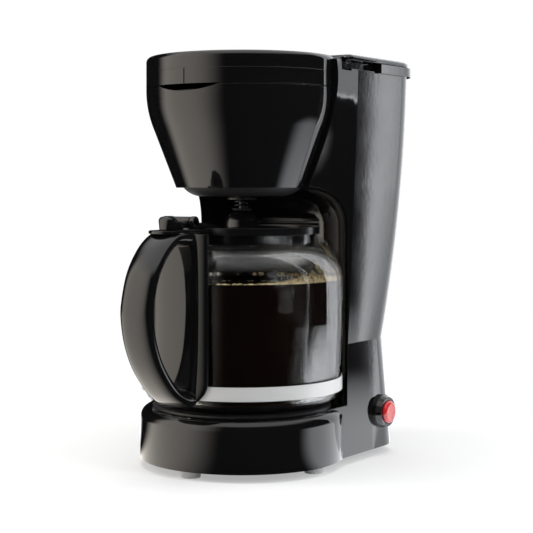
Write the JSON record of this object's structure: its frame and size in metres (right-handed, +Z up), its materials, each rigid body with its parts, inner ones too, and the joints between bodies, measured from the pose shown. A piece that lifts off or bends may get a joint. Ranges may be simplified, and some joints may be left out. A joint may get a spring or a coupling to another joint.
{
  "type": "drip coffee maker",
  "caption": "Free-standing drip coffee maker with a conical swing-out brew head, rear water tank, side switch and a glass carafe on a warming plate.",
  "frame": {"origin": "on the carafe's axis at the level of the table", "axes": "+Z up; -Y is the front, where the carafe's handle points; +X is the user's right, the side of the switch"},
  "size_m": [0.157, 0.2741, 0.3069],
  "materials": {
    "black_gloss": "polished black moulding",
    "black_matte": "fine matt black moulding",
    "grey_rubber": "light grey soft feet",
    "coated_steel": "dark non-stick coating",
    "aluminium": "plain",
    "steel": "bright",
    "clear_rubber": "silicone tubing",
    "red_cap": "translucent red cap",
    "glass": "clear"
  },
  "bodies": {
    "body": {"base_housing": "black_gloss", "base_plate": "black_matte", "foot_front": "grey_rubber", "foot_right": "grey_rubber", "foot_left": "grey_rubber", "foot_rear_right": "grey_rubber", "foot_rear_left": "grey_rubber", "warming_plate": "coated_steel", "heater_element": "aluminium", "heater_bracket": "aluminium", "thermostat": "aluminium", "thermal_fuse": "steel", "inlet_hose": "clear_rubber", "riser_tube": "clear_rubber", "check_valve": "clear_rubber", "spray_head": "black_matte", "switch_body": "black_matte", "switch_bezel": "black_gloss", "cord_gland": "black_matte", "tower_shell": "black_gloss", "head_shell": "black_gloss", "head_band": "black_gloss", "head_cap": "black_gloss", "basket_hinge_pin": "steel", "lid_pin_right": "steel", "lid_pin_left": "steel"},
    "basket": {"basket_door": "black_gloss", "brew_cup": "black_matte", "filter_basket": "black_matte", "valve_seat": "black_matte", "valve_spring": "steel"},
    "drip_valve": {"valve_plunger": "black_matte"},
    "lid": {"reservoir_lid": "black_gloss"},
    "carafe": {"carafe_glass": "glass", "carafe_collar": "black_gloss", "carafe_band": "steel", "carafe_handle": "black_gloss", "carafe_lid": "black_gloss", "carafe_lid_pin": "steel"},
    "button": {"power_button": "red_cap"}
  },
  "joints": [
    {"name": "basket_swing", "type": "hinge", "parent": "body", "child": "basket", "pos_m": [-0.07136, -0.00249, 0.265], "axis": [0, 0, 1], "range_deg": [-95, 0]},
    {"name": "drip_valve_lift", "type": "slide", "parent": "basket", "child": "drip_valve", "axis": [0, 0, 1], "range_m": [0, 0.0034], "stiffness_N_per_m": 150, "springref_m": -0.003, "deforming": ["valve_spring"]},
    {"name": "reservoir_lid_hinge", "type": "hinge", "parent": "body", "child": "lid", "pos_m": [0, 0.025, 0.2995], "axis": [1, 0, 0], "range_deg": [0, 95]},
    {"name": "carafe_pull", "type": "slide", "parent": "body", "child": "carafe", "axis": [0, -1, 0], "range_m": [0, 0.2]},
    {"name": "power_button_press", "type": "slide", "parent": "body", "child": "button", "axis": [-1, 0, 0], "range_m": [0, 0.003], "stiffness_N_per_m": 600, "springref_m": -0.001}
  ]
}
